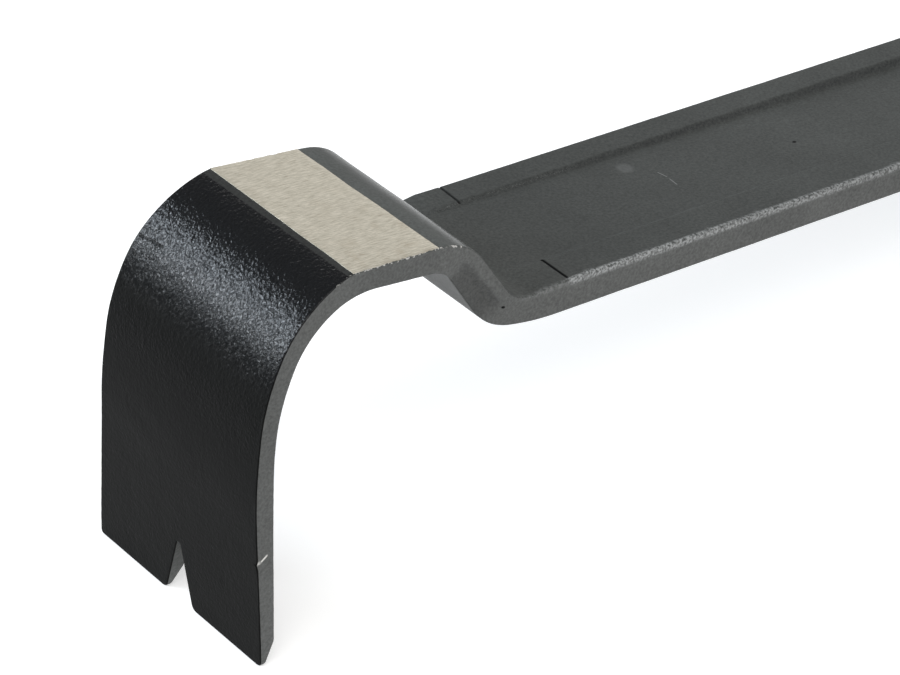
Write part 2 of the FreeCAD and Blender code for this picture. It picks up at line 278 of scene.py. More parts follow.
# Small marks in the coat, each placed along the bar and across it, in millimetres.
SCUFF = ((162.9, 7.3), (1.9, 1.9))
HAIR_SCRATCHES = (((167.0, 3.4), (167.5, 1.2)), ((167.4, 0.6), (167.2, -1.8)))
SHANK_PIT = ((196.3, -0.6), (0.55, 0.4))
BEND_CRACK = (((59.3, 20.4), (59.7, 16.6)), ((59.65, 16.9), (59.95, 13.9)))
NICK_SCRATCH = (((20.5, -0.2), (21.3, 0.9), 0.85), ((21.0, 0.6), (22.2, 2.2), 0.4))
NECK_PIT = ((113.6, 2.9), (0.5, 0.35))
CRACK_WIDTH = 0.36
HAIR_WIDTH = 0.2
DOT_SPACING = 5.5  # specks on the blade, and how far they reach up the hook
DOT_SIZE = 0.035
DOTS_END = 45.0

# Fades of the materials: from and to on what is read, then the values there, which are 0 and 1 if
# they are left out. Those read along the bar are in millimetres from the claw edge.
ROOT_TONE = (120.0, 132.0, 1.18, 1.0)
SHANK_TONE = (125.0, 205.0, 0.95, 1.14)
CREST_TONE_START = 80.0
CREST_TONE_END = (93.0, 97.0, 1.0, 0.0)
CREST_TONE = (0.0, 1.0, 1.0, 1.3)
BAND_TONE = (150.0, 205.0, 1.0, 0.8)
GLOSS_BREAKS_END = (54.0, 59.0)
SPARKLE_END = (65.0, 68.0)
PEEL_START = (38.0, 52.0, 0.25, 1.0)
PEEL_END = (57.0, 66.0, 1.0, 0.6)
STAIN_SIDE = (-14.0, 6.0, 1.0, 0.3)
MARK_EDGE = (0.20, 0.44, 1.0, 0.0)
FACET_EDGE = (0.0, 0.16)
# painted shade on the side below the gooseneck's trim step
RECESS_PAINTED_SHADE_TONE = (0.0, 1.0, 1.0, 0.7)
INVERSE = (0.0, 1.0, 1.0, 0.0)
MIDDLE = (0.3, 0.7)  # where most of a noise's values lie
CLOUD_TONE = (0.92, 1.08)
SPECKLE_TONE = (0.76, 1.24)
WALL_STRENGTH = (0.08, 0.42)
GLINT_STRENGTH = (0.20, 0.05)
SPARKLE = (0.35, 1.5)
CRACK_STRENGTH = 0.35
SCUFF_STRENGTH = 0.10
HAIR_STRENGTH = 0.4
FAR_MARK_STRENGTH = 0.75
STAIN_STRENGTH = 0.45

SHANK_ROUGHNESS = 0.50
HOOK_ROUGHNESS = 0.44
SIDE_ROUGHNESS = 0.6
BARE_ROUGHNESS = 0.4
STEEL_ROUGHNESS = (0.36, 0.54)
SHANK_PEEL = 0.12  # strength of the orange peel away from the hook's outer face
SIDE_PEEL = 0.08
PEEL_HEIGHT = 0.19  # heights of the fine relief, in millimetres
GRAIN_HEIGHT = 0.05
STREAK_HEIGHT = 0.02
STREAK_STRETCH = 0.10  # grinding streaks are this much finer across the bar than along it

# ---- Stage, lights and camera, in metres, watts, millimetres of lens and degrees ----

FLOOR_SIZE = 14.0
FLOOR_WHITE = (0.86, 0.86, 0.86, 1.0)
FLOOR_GLOW = 0.45
WORLD_LIGHT = (0.54, 0.54, 0.545, 1.0)
WORLD_STRENGTH = 0.6

# name: (azimuth from +Y towards +X, elevation, distance, size, power, colour)
SOFTBOXES = {
    "key_front": (-150.0, 62.0, 1.6, (1.6, 1.2), 15.0, (1.0, 0.99, 0.97)),
    "rim_left": (-45.0, 30.0, 1.0, (0.8, 0.14), 5.2, (0.82, 0.91, 1.0)),
    "glint_left": (-46.0, 15.0, 1.0, (0.6, 0.06), 3.4, (0.88, 0.94, 1.0)),
    "sheen_right": (46.0, 20.0, 1.5, (1.5, 0.9), 4.9, (1.0, 0.98, 0.95)),
    "fill_right": (130.0, 25.0, 1.6, (1.2, 0.8), 4.0, (1.0, 1.0, 1.0)),
}
HOOK_MIDDLE = (0.8, 0.7)  # the lights aim at these shares of the box's -X and +Z reach

VIEW_AZIMUTH = 38.53  # the camera looks this far from +Y towards +X, and this far down
VIEW_ELEVATION = 35.80
FACE_TO_CAMERA = Vector((-328.53, -445.16, 372.96)) * MM
LENS = 164.64
CLIP_START = 0.05


# ---- Side view outlines ----

class Outline:
    """Straight runs and tangent arcs in the side view, as close points between named joints.

    A run that is given a name ends at the joint of that name. The outline starts at the die marks.
    """

    def __init__(self, z, heading):
        self.points = [np.array([DIE_MARK_X, z])]
        self.heading = heading
        self.joints = {"die_mark": 0}

    def mark(self, name):
        if name:
            self.joints[name] = len(self.points) - 1

    def ahead(self, turn=0.0):
        angle = math.radians(self.heading + turn)
        return np.array([math.cos(angle), math.sin(angle)])

    def line_to(self, end, name=None):
        start = self.points[-1]
        steps = max(1, round(np.linalg.norm(end - start) / OUTLINE_STEP))
        self.points += [start + (end - start) * i / steps for i in range(1, steps + 1)]
        self.mark(name)

    def run_to_x(self, x, name=None):
        here = self.points[-1]
        self.line_to(here + self.ahead() * ((x - here[0]) / self.ahead()[0]), name)

    def run_to_z(self, z, name=None):
        here = self.points[-1]
        self.line_to(here + self.ahead() * ((z - here[1]) / self.ahead()[1]), name)

    def turn_to(self, heading, radius, name=None):
        """Arc to a new heading in degrees; a larger heading turns left."""
        first = self.heading
        spoke = math.copysign(radius, heading - first)
        centre = self.points[-1] + self.ahead(90.0) * spoke
        steps = max(1, round(abs(math.radians(heading - first)) * radius / OUTLINE_STEP))
        for i in range(1, steps + 1):
            self.heading = first + (heading - first) * i / steps
            self.points.append(centre - self.ahead(90.0) * spoke)
        self.mark(name)

    def arc_to(self, end, name=None):
        """Arc that leaves along the present heading and ends at a point."""
        chord = end - self.points[-1]
        half_turn = math.degrees(math.atan2(chord[1], chord[0])) - self.heading
        radius = np.linalg.norm(chord) / (2.0 * math.sin(math.radians(abs(half_turn))))
        self.turn_to(self.heading + 2.0 * half_turn, radius, name)

    def stretch(self, start, end):
        """Evenly spaced points along the outline, from one named joint to another."""
        first, last = self.joints[start], self.joints[end]
        step = 1 if last > first else -1
        run = np.array([self.points[i] for i in range(first, last + step, step)])
        length = lengths_along(run)
        at = np.linspace(0.0, 1.0, STRETCH_STEPS) * length[-1]
        return np.column_stack([np.interp(at, length, run[:, 0]), np.interp(at, length, run[:, 1])])


def lengths_along(points):
    return np.concatenate([[0.0], np.cumsum(np.linalg.norm(np.diff(points, axis=0), axis=1))])


def arc_height(radius, slope_a, slope_b):
    return radius * abs(math.cos(math.radians(slope_a)) - math.cos(math.radians(slope_b)))


def upper_outline():
    """Top of the bar from the die marks over the land and round the hook to the claw edge."""
    line = Outline(-ROOT_STEP, 180.0)
    line.run_to_x(NECK_FOOT_X, "foot")
    line.turn_to(180.0 - NECK_SLOPE, NECK_FOOT_RADIUS, "neck_foot")
    line.run_to_z(LAND_START_Z - arc_height(NECK_TOP_RADIUS, NECK_SLOPE, LAND_SLOPE), "neck_top")
    line.turn_to(180.0 - LAND_SLOPE, NECK_TOP_RADIUS, "land")
    line.run_to_x(CREASE_X, "crease")
    line.heading = 180.0 + BEND_ENTRY
    line.turn_to(180.0 + BEND_EXIT, BEND_RADIUS, "bend")
    line.turn_to(180.0 + SHOULDER_EXIT, SHOULDER_RADIUS, "shoulder")
    line.turn_to(180.0 + BLADE_LEAN, BLADE_RADIUS)
    line.run_to_z(FLARE_START_Z, "flare")
    line.run_to_z(CLAW_EDGE_Z + CLAW_SLOT_DEPTH, "slot_root")
    line.run_to_z(CLAW_EDGE_Z + CLAW_BEVEL_HEIGHT, "bevel")
    line.run_to_z(CLAW_EDGE_Z, "edge")
    return line


def lower_outline(claw_edge):
    """Underside of the bar over the same stretch."""
    line = Outline(-SHANK_THICKNESS, 180.0)
    line.turn_to(180.0 - HEEL_ENTRY_SLOPE, HEEL_ENTRY_RADIUS, "foot")
    line.turn_to(180.0 - UNDER_NECK_SLOPE, HEEL_RADIUS, "neck_foot")
    neck_arc_height = arc_height(UNDER_NECK_RADIUS, UNDER_NECK_SLOPE, UNDER_LAND_SLOPE)
    line.run_to_z(UNDER_LAND_START_Z - neck_arc_height, "neck_top")
    line.turn_to(180.0 - UNDER_LAND_SLOPE, UNDER_NECK_RADIUS, "land")
    line.run_to_x(UNDER_LAND_END_X)
    line.turn_to(180.0 + BEND_ENTRY, INNER_BEND_RADIUS, "crease")
    line.turn_to(180.0 + BEND_EXIT, INNER_BEND_RADIUS, "bend")
    line.turn_to(180.0 + SHOULDER_EXIT, INNER_SHOULDER_RADIUS, "shoulder")
    line.turn_to(180.0 + INNER_BLADE_LEAN, INNER_BLADE_RADIUS)
    line.run_to_z(FLARE_START_Z, "flare")
    line.run_to_z(CLAW_EDGE_Z + CLAW_SLOT_DEPTH, "slot_root")
    line.run_to_z(CLAW_EDGE_Z + CLAW_BEVEL_HEIGHT, "bevel")
    line.line_to(claw_edge + np.array([CLAW_EDGE_THICKNESS, 0.0]), "edge")
    return line


def chisel_outlines(edge_x):
    """Top and underside of the shank and the chisel end, away from the die marks."""
    def heading_at(x):
        return -math.degrees(math.asin((x - CHISEL_START_X) / CHISEL_RADIUS))

    lower = Outline(-SHANK_THICKNESS, 0.0)
    lower.run_to_x(CHISEL_START_X, "chisel")
    lower.turn_to(heading_at(edge_x - CHISEL_BEVEL_LENGTH), CHISEL_RADIUS, "chisel_bevel")
    bevel_start = lower.points[-1] + lower.ahead(90.0) * CHISEL_BEVEL_THICKNESS
    lower.turn_to(heading_at(edge_x), CHISEL_RADIUS, "chisel_edge")
    upper = Outline(-ROOT_STEP, 0.0)
    upper.run_to_x(CHISEL_START_X, "chisel")
    upper.arc_to(bevel_start, "chisel_bevel")
    upper.line_to(lower.points[-1] + np.array([0.0, CHISEL_EDGE_THICKNESS]), "chisel_edge")
    return upper, lower


class Bar:
    """The bar's faired shape: points on it from s, y and depth, and its width and thickness at s."""

    def __init__(self):
        upper = upper_outline()
        lower = lower_outline(upper.points[-1])
        edge_x = min(point[0] for point in upper.points) + BAR_LENGTH
        stretches = [(upper, lower, pair) for pair in zip(HOOK_JOINTS, HOOK_JOINTS[1:])]
        stretches += [(*chisel_outlines(edge_x), pair) for pair in zip(TAIL_JOINTS, TAIL_JOINTS[1:])]
        self.joint = {"edge": 0.0}
        rows = []
        for top, bottom, (start, end) in stretches:
            top_run, bottom_run = top.stretch(start, end), bottom.stretch(start, end)
            s = self.joint[start] + lengths_along((top_run + bottom_run) / 2.0)
            self.joint[end] = s[-1]
            rows.append(np.column_stack([s, top_run, bottom_run]))
        self.s, *self.outlines = np.concatenate(rows).T.copy()
        self.length = self.s[-1]
        self.attitude = resting_attitude()
        self.width_s = np.linspace(0.0, self.length, round(self.length / WIDTH_STEP))
        plain = np.interp(self.width_s, [self.joint[name] for name in WIDTHS], list(WIDTHS.values()))
        padded = np.pad(plain, WIDTH_REACH, mode="reflect", reflect_type="odd")
        kernel = np.hanning(2 * WIDTH_REACH + 3)[1:-1]
        self.width = np.convolve(padded, kernel / kernel.sum(), mode="valid")

    def half_width(self, s):
        return np.interp(s, self.width_s, self.width) / 2.0

    def edge(self, s):
        """Half width with the swell of the coated sides."""
        return self.half_width(s) + np.minimum(SWELL, SWELL_RATE * np.asarray(s))

    def window(self, s, places):
        """1 between four (joint, offset) places: fades in over the first two, out over the last two."""
        a, b, c, d = (self.joint[name] + offset for name, offset in places)
        return ramp(s, a, b) * (1.0 - ramp(s, c, d))

    def spacing(self, s):
        return HOOK_SPACING if s < self.joint["die_mark"] + FINE_BEYOND_MARK else SHANK_SPACING

    def at_x(self, x):
        """Distance s of a place on the straight shank."""
        return self.joint["die_mark"] + x - DIE_MARK_X

    def shank_x(self, s):
        return s - self.joint["die_mark"] + DIE_MARK_X

    def ends(self, s):
        """Where the bar's top and underside are at s."""
        x, z, under_x, under_z = (np.interp(s, self.s, values) for values in self.outlines)
        return np.column_stack([x, z]), np.column_stack([under_x, under_z])

    def thickness(self, s):
        top, bottom = self.ends(s)
        return np.linalg.norm(bottom - top, axis=1)

    def place(self, s, y, depth):
        """Positions in the row frame, in metres."""
        top, bottom = self.ends(s)
        down = bottom - top
        down /= np.linalg.norm(down, axis=1)[:, None]
        drawn = top + down * depth[:, None]
        tilt, base = self.attitude
        x = drawn[:, 0] * math.cos(tilt) + drawn[:, 1] * math.sin(tilt) + base[0]
        z = -drawn[:, 0] * math.sin(tilt) + drawn[:, 1] * math.cos(tilt) + base[1]
        return np.column_stack([x, y, z]) * MM


def mount(name):
    return next(entry for entry in frame["record"]["mounts"] if entry["name"] == name)


def resting_attitude():
    """Tilt of the shank and place of the drawing frame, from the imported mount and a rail's box."""
    normal = mount("shank_underside")["axis"]
    tilt = math.atan2(-normal[0], -normal[2])
    low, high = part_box("shank_rail_left")
    base_x = high.x / MM - FAR_MARK_X * math.cos(tilt)
    base_z = high.z / MM + DIE_MARK_X * math.sin(tilt)
    return tilt, (base_x, base_z)


# ---- Plan outlines in (s, y) ----

def fillet(before, corner, after, radius, steps=6):
    """Points of an arc that rounds one corner of a plan outline."""
    into = (corner - before) / np.linalg.norm(corner - before)
    out = (after - corner) / np.linalg.norm(after - corner)
    turn = math.atan2(into[0] * out[1] - into[1] * out[0], into @ out)
    setback = radius * abs(math.tan(turn / 2.0))
    start = corner - into * setback
    side = math.copysign(1.0, turn)
    centre = start + np.array([-into[1], into[0]]) * radius * side
    spoke = start - centre
    points = []
    for i in range(steps + 1):
        angle = turn * i / steps
        c, s = math.cos(angle), math.sin(angle)
        points.append(centre + np.array([spoke[0] * c - spoke[1] * s, spoke[0] * s + spoke[1] * c]))
    return points


def rounded(corners):
    """Plan outline with each (s, y, radius) corner rounded; radius 0 keeps a point as it is."""
    spots = [np.array(corner[:2], float) for corner in corners]
    outline = []
    for i, corner in enumerate(corners):
        if corner[2] > 0.0:
            outline += fillet(spots[i - 1], spots[i], spots[(i + 1) % len(spots)], corner[2])
        else:
            outline.append(spots[i])
    return outline


def subdivided(outline, spacing_at):
    """The closed outline with points no further apart than the spacing at each place."""
    points = []
    for i, start in enumerate(outline):
        end = outline[(i + 1) % len(outline)]
        gap = np.linalg.norm(end - start)
        if gap < SAME_PLACE:
            continue
        steps = max(1, math.ceil(gap / spacing_at(start[0]) - 0.2))
        points += [start + (end - start) * k / steps for k in range(steps)]
    return np.array(points)


def slot_corners(mouth_s, root_s):
    """Corners of a nail slot, from its +y mouth to its root and back to its -y mouth."""
    return [
        (mouth_s, SLOT_MOUTH / 2.0, TINE_CORNER),
        (root_s, SLOT_ROOT / 2.0, SLOT_ROOT_CORNER),
        (root_s, -SLOT_ROOT / 2.0, SLOT_ROOT_CORNER),
        (mouth_s, -SLOT_MOUTH / 2.0, TINE_CORNER),
    ]


def ripple(place, lane, layers):
    """Unevenness of an edge at a place on it; each edge has a lane of its own."""
    return sum(noise.noise(Vector((place * rate, lane, seed))) * size for rate, seed, size in layers)


def body_outline(bar, lines):
    """Plan outline of the whole bar, anticlockwise from its near claw corner."""
    end = bar.length
    claw, chisel = bar.half_width(0.0), bar.half_width(end)
    inner = [s for s in lines if CORNER_CLEAR_CLAW < s < end - CORNER_CLEAR_CHISEL]
    near = [(s, -bar.edge(s) + ripple(s, -1.0, EDGE_WANDER), 0.0) for s in inner]
    far = [(s, bar.edge(s) - ripple(s, 1.0, EDGE_WANDER), 0.0) for s in reversed(inner)]
    corners = [(0.0, -claw, NEAR_CLAW_CORNER), *near, (end, -chisel, OUTER_CORNER)]
    corners += reversed(slot_corners(end, end - CHISEL_SLOT_DEPTH))
    corners += [(end, chisel, OUTER_CORNER), *far, (0.0, claw, OUTER_CORNER)]
    corners += slot_corners(0.0, bar.joint["slot_root"])
    return subdivided(rounded(corners), bar.spacing)


def eye_outline(bar):
    """Drop-shaped nail eye, clockwise so that the steel is on the same hand as outside."""
    round_s, tail_s = bar.at_x(EYE_X), bar.at_x(EYE_TAIL_X)
    lean = math.asin((EYE_RADIUS - EYE_TAIL_RADIUS) / (EYE_X - EYE_TAIL_X))
    points = []
    for centre, radius, first, last, steps in (
        (round_s, EYE_RADIUS, math.pi / 2.0 + lean, -math.pi / 2.0 - lean, EYE_STEPS[0]),
        (tail_s, EYE_TAIL_RADIUS, -math.pi / 2.0 - lean, -1.5 * math.pi + lean, EYE_STEPS[1]),
    ):
        for angle in np.linspace(first, last, steps):
            points.append(np.array([centre + radius * math.cos(angle), radius * math.sin(angle)]))
    return subdivided(points, lambda s: EYE_SPACING)


def outward(outline):
    """Unit outward normals of a plan outline whose material is on its left."""
    along = np.roll(outline, -1, axis=0) - np.roll(outline, 1, axis=0)
    normal = np.column_stack([along[:, 1], -along[:, 0]])
    return normal / np.linalg.norm(normal, axis=1)[:, None]


# ---- Meshes ----

def grid_lines(stops, spacings):
    """Increasing values that hold every stop, with even steps of about the given size between them."""
    lines = [stops[0]]
    for start, end, spacing in zip(stops, stops[1:], spacings):
        steps = max(1, round((end - start) / spacing))
        lines += [start + (end - start) * i / steps for i in range(1, steps + 1)]
    return np.array(lines)


def triangulate(insets, inner_points, spacing_at):
    """Triangles between inset outlines: indices run over the outlines' points, then the inner points."""
    rim = np.concatenate(insets)
    tree = kdtree.KDTree(len(rim))
    for i, point in enumerate(rim):
        tree.insert((point[0], point[1], 0.0), i)
    tree.balance()
    kept = [p for p in inner_points if tree.find((p[0], p[1], 0.0))[2] > spacing_at(p[0]) * RIM_CLEARANCE]
    points = [Vector((p[0], p[1])) for p in [*rim, *kept]]
    edges, first = [], 0
    for inset in insets:
        count = len(inset)
        edges += [(first + i, first + (i + 1) % count) for i in range(count)]
        first += count
    positions, _, triangles, origins, _, _ = delaunay_2d_cdt(points, edges, [], INSIDE_ONLY, CLOSE_ENOUGH)
    flat = np.array([(p.x, p.y) for p in positions])
    found_at = {old: new for new, group in enumerate(origins) for old in group}
    return flat, [tuple(t) for t in triangles], [found_at[i] for i in range(len(rim))]


class Plate:
    """A closed sheet of metal over a plan outline, with rolled edges, as one mesh."""

    def __init__(self, bar, outlines, inner_points, roll, top, bottom, draft=None):
        """roll gives the edge radius; top and bottom give depths; draft leans the sides in."""
        self.bar = bar
        insets = []
        for outline in outlines:
            radius = roll(bar, outline[:, 0])
            insets.append(outline - outward(outline) * radius[:, None])
        flat, triangles, order = triangulate(insets, inner_points, bar.spacing)
        self.parts = []
        top_depth, bottom_depth = top(bar, *flat.T), bottom(bar, *flat.T)
        self.add(flat, top_depth, 0.0)
        self.add(flat, bottom_depth, UNDERSIDE)
        count = len(flat)
        self.faces = triangles + [tuple(count + i for i in reversed(t)) for t in triangles]
        first = 0
        for outline in outlines:
            rim = order[first:first + len(outline)]
            first += len(outline)
            self.rim(outline, roll, rim, top_depth[rim], bottom_depth[rim], count, draft)

    def add(self, places, depth, kind):
        """Adds points and returns the index of the first."""
        first = sum(len(part) for part in self.parts)
        self.parts.append(np.column_stack([places, depth, np.full(len(places), kind)]))
        return first

    def rim(self, outline, roll, rim, top_depth, bottom_depth, lower_offset, draft):
        """Rings from the top sheet over the rolled edge, down the side and under to the bottom sheet."""
        normal = outward(outline)
        radius = roll(self.bar, outline[:, 0])
        room = bottom_depth - top_depth
        drop = np.minimum(radius, room * ROLL_SHARE)
        lift = np.minimum(EDGE_ROUND_UNDER, room * ROLL_SHARE)
        turns = [0.5 * math.pi * i / ROUND_STEPS for i in range(1, ROUND_STEPS + 1)]
        rings = []
        for turn in turns:
            share = 2.0 * turn / math.pi
            rings.append((radius * math.sin(turn), top_depth + drop * (1.0 - math.cos(turn)), share))
        side = room - drop - lift
        for i in range(1, SIDE_STEPS):
            rings.append((radius, top_depth + drop + side * i / SIDE_STEPS, 1.0))
        for turn in reversed(turns):
            rings.append((radius * math.sin(turn), bottom_depth - lift * (1.0 - math.cos(turn)), 1.0))
        starts = [rim]
        for out, depth, kind in rings:
            lean = draft(self.bar, *outline.T, depth - top_depth) if draft else 0.0
            point = outline - normal * (radius - out + lean)[:, None]
            start = self.add(point, depth, kind)
            starts.append(list(range(start, start + len(outline))))
        starts.append([lower_offset + i for i in rim])
        for upper, lower in zip(starts, starts[1:]):
            for i in range(len(upper)):
                j = (i + 1) % len(upper)
                self.faces.append((upper[i], lower[i], lower[j], upper[j]))

    def build(self, name, displace=None):
        """The mesh object, with s, y, depth and side stored on its points for the materials."""
        s, y, depth, kind = np.concatenate(self.parts).T.copy()
        if displace:
            depth = depth + displace(self.bar, s, y, kind)
        mesh = bpy.data.meshes.new(name)
        mesh.from_pydata(self.bar.place(s, y, depth).tolist(), [], self.faces)
        mesh.validate()
        mesh.shade_smooth()
        store(mesh, along=s, across=y, down=depth, side=np.minimum(kind, 1.0))
        return linked(name, mesh), s, y, depth, kind


def linked(name, data):
    """A new object in the scene."""
    made = bpy.data.objects.new(name, data)
    bpy.context.scene.collection.objects.link(made)
    return made


def store(mesh, **layers):
    for name, values in layers.items():
        layer = mesh.attributes.new(name, "FLOAT", "POINT")
        layer.data.foreach_set("value", np.asarray(values, np.float32))


def clamp(values):
    return np.clip(values, 0.0, 1.0)


def ramp(values, low, high):
    """Smooth step from 0 at low to 1 at high."""
    t = clamp((values - low) / (high - low))
    return t * t * (3.0 - 2.0 * t)


def uneven(s, y, layers):
    """Unevenness of the surface at (s, y), as a sum of smooth noises."""
    return sum(
        np.array([noise.noise(Vector((a / grain, b / grain, seed))) for a, b in zip(s, y)]) * height
        for grain, seed, height in layers)


# ---- The black coated forging ----

def rail_share(y, shift):
    """1 on the rails and 0 on the web, with a sloping wall between them."""
    inner = SHANK_WIDTH / 2.0 - RAIL_WIDTH
    distance = np.abs(y - WEB_SHIFT) + shift
    return ramp(distance, inner - WALL_WIDTH / 2.0, inner + WALL_WIDTH / 2.0)


def shank_relief(bar, s, y):
    """Depth of the shank's upper surface below the root's level: rails, web and die marks."""
    x = bar.shank_x(s)
    web = np.interp(
        x, [NECK_FOOT_X, DIE_MARK_X, WEB_DEEP_START_X, WEB_DEEP_END_X, FAR_MARK_X],
        [0.0, WEB_START_DEPTH, WEB_DEPTH - ROOT_STEP, WEB_DEPTH - ROOT_STEP, 0.0])
    rail = rail_share(y, uneven(s, y, WALL_RAGGED))
    length = ramp(x, *RAIL_FADE_X) * (1.0 - ramp(x, FAR_MARK_X - RAIL_END_FADE, FAR_MARK_X))
    relief = web * (1.0 - rail) - ROOT_STEP * rail * length
    relief -= FAR_EDGE_RISE * ramp(y, SHANK_WIDTH / 2.0 - RAIL_WIDTH, SHANK_WIDTH / 2.0) * length
    marked = rail_share(y, MARK_SHORTER) * (y > -MARK_END_NEAR)
    for mark_x in (DIE_MARK_X, FAR_MARK_X):
        groove = 1.0 - ramp(np.abs(x - mark_x), MARK_FLOOR, MARK_WIDTH)
        relief += MARK_DEPTH * groove * marked
    return relief


def neck_fall(bar, s, y):
    return NECK_FAR_FALL * bar.window(s, NECK_FALL) * ramp(y, 0.0, SHANK_WIDTH / 2.0)


def body_bottom(bar, s, y):
    rise = NECK_FAR_THIN * bar.window(s, NECK_THIN) * clamp(y / SHANK_WIDTH + 0.5)
    return bar.thickness(s) - rise


def facet_width(y):
    """The facet beside the crease is a little wider on the +y side."""
    return FACET_NEAR + (FACET_FAR - FACET_NEAR) * clamp(y / CREASE_WIDTH + 0.5)


def body_top(bar, s, y):
    past_crease = s - bar.joint["crease"]
    facet = FACET_DROP * clamp(past_crease / facet_width(y) + 1.0) * (past_crease <= FACET_LAP)
    slot = FACE_PROUD * bar.window(s, GROUND_SLOT)
    return shank_relief(bar, s, y) + slot + facet + neck_fall(bar, s, y)


def body_roll(bar, s):
    return EDGE_ROUND_HOOK + (EDGE_ROUND_SHANK - EDGE_ROUND_HOOK) * bar.window(s, WIDE_ROLL)


def side_draft(bar, s, y, depth):
    """How far the sides lie inside the plan outline: the gooseneck's trim step and the blade's nick."""
    outer = np.abs(y) > OUTER_SIDES
    step_end = STEP_DEPTH + STEP_HEIGHT
    step = ramp(depth, STEP_DEPTH, step_end)
    step *= 1.0 - STEP_RETURN * ramp(depth, step_end, STEP_DEPTH + 4.0 * STEP_HEIGHT)
    nick = clamp(1.0 - np.abs(s - NICK_S) / NICK_REACH) * (y < 0.0) * outer * clamp(NICK_DEPTH - depth)
    return STEP_IN * bar.window(s, TRIM_STEP) * outer * step + NICK_IN * nick


def body_skin(bar, s, y, kind):
    """Slow waves and hammer marks of the forged surface, as small changes of depth."""
    hook = 1.0 - ramp(s, bar.joint["crease"] - HOOK_PEEL_FADE, bar.joint["crease"])
    wave = uneven(s, y, FORGED_WAVES)
    peel = uneven(s, y, HOOK_PEEL) * hook
    pock = uneven(s, y, POCKS) * bar.window(s, ROOT_POCKS) * rail_share(y, 0.0)
    smooth = bar.window(s, GROUND_SMOOTH)
    return np.abs(wave + peel + pock) * (1.0 - smooth) * (kind <= 0.0)


def add_body(bar):
    near_mark, far_mark = bar.joint["die_mark"], bar.at_x(FAR_MARK_X)
    stops = [
        0.0, bar.joint["land"] - 2.0, bar.joint["foot"], near_mark - MARK_SEAM, near_mark + MARK_SEAM,
        near_mark + FINE_BEYOND_MARK, far_mark - MARK_SEAM, far_mark + MARK_SEAM, bar.length,
    ]
    spacings = [
        HOOK_SPACING, HOOK_SPACING, HOOK_SPACING, MARK_SPACING, HOOK_SPACING * 1.3, SHANK_SPACING,
        MARK_SPACING, SHANK_SPACING * 0.8,
    ]
    lines = grid_lines(stops, spacings)
    across = grid_lines(*ACROSS_GRID)
    across = np.concatenate([-across[:0:-1], across])
    half = bar.half_width(lines)
    inner_points = [(s, v * h) for s, h in zip(lines, half) for v in across if 0.0 < s < bar.length]
    outlines = [body_outline(bar, lines), eye_outline(bar)]
    plate = Plate(bar, outlines, inner_points, body_roll, body_top, body_bottom, side_draft)
    body, s, y, depth, kind = plate.build("forging_body", body_skin)
    paint_body(bar, body, s, y, depth, kind)
    return body


def paint_body(bar, body, s, y, depth, kind):
    """Masks for the coat: how glossy it lies, where it is chipped bright, where highlight and shade are
    painted on and where it is rough.
    """
    crease, bend, neck_top = (bar.joint[name] for name in ("crease", "bend", "neck_top"))
    outer_side = kind < 1.0
    upper = depth < bar.thickness(s) * 0.5
    x = bar.shank_x(s)
    sheen = CREST_GLOSS * bar.window(s, CREST_SHEEN) * outer_side * upper
    stepped_in = ramp(depth, STEP_DEPTH - 0.1, STEP_DEPTH + 0.5) * (kind == 1.0)
    chip = CHIPS_BEFORE_CREASE * ramp(s, crease - 7.0, crease - 2.0)
    chip += (1.0 - CHIPS_BEFORE_CREASE) * ramp(s, crease - 1.0, crease + 1.0)
    chip *= 1.0 - ramp(s, neck_top - 6.0, neck_top + 1.0)
    chip *= np.where(kind > 0.0, clamp(1.25 - depth * CHIP_FADE), 0.0)
    rail = rail_share(y, uneven(s, y, WALL_RAGGED))
    wall = 4.0 * rail * (1.0 - rail) * (kind <= 0.0) * upper * (x > NECK_FOOT_X)
    store(
        body.data,
        hook=(1.0 - ramp(s, crease - 0.3, crease + 0.1)) * outer_side,
        gloss=ramp(s, bend - 6.5, bend + 3.0) * outer_side * upper,
        crest=np.where(kind >= UNDERSIDE, UNDERSIDE_GLOSS, sheen),
        # painted shade on the side below the trim step
        recess=bar.window(s, TRIM_SHADE) * stepped_in,
        # painted highlight along the -y rolled edge
        band=painted_edge_highlight(bar, s, y, depth, kind) * upper * (y < 0.0),
        chip=chip * upper,
        # painted shade and painted glints on the wall beside the +y rail
        wall=wall * (y > WEB_SHIFT),
        rise=ramp(x, *WALL_DARKENS_X))


def painted_edge_highlight(bar, s, y, depth, kind):
    """Painted highlight: the pale strip along the shank's -y rolled edge, where the edge catches the
    light.
    """
    x = bar.shank_x(s)
    on_shank = ramp(x, DIE_MARK_X - 0.6, DIE_MARK_X + 0.6) + BAND_BEFORE_MARK * ramp(x, -3.0, NECK_FOOT_X)
    inner = bar.half_width(s) + uneven(s, y, BAND_RAGGED)
    on_top = ramp(-y, inner - BAND_REACH[0], inner - BAND_REACH[1])
    band = np.where(kind > 0.0, clamp(1.25 - depth * BAND_FADE), on_top)
    return clamp(band * on_shank)


# ---- The ground striking face ----

def face_half(bar, s, side):
    """Half width of the ground patch, with small chips where the grinding broke the edge."""
    chip = sum(size * max(0.0, ripple(s, side, ((rate, seed, 1.0),))) for rate, seed, size in FACE_CHIPS)
    return float(bar.edge(s)) - FACE_EDGE_GAP - FACE_EDGE_CHIP * chip


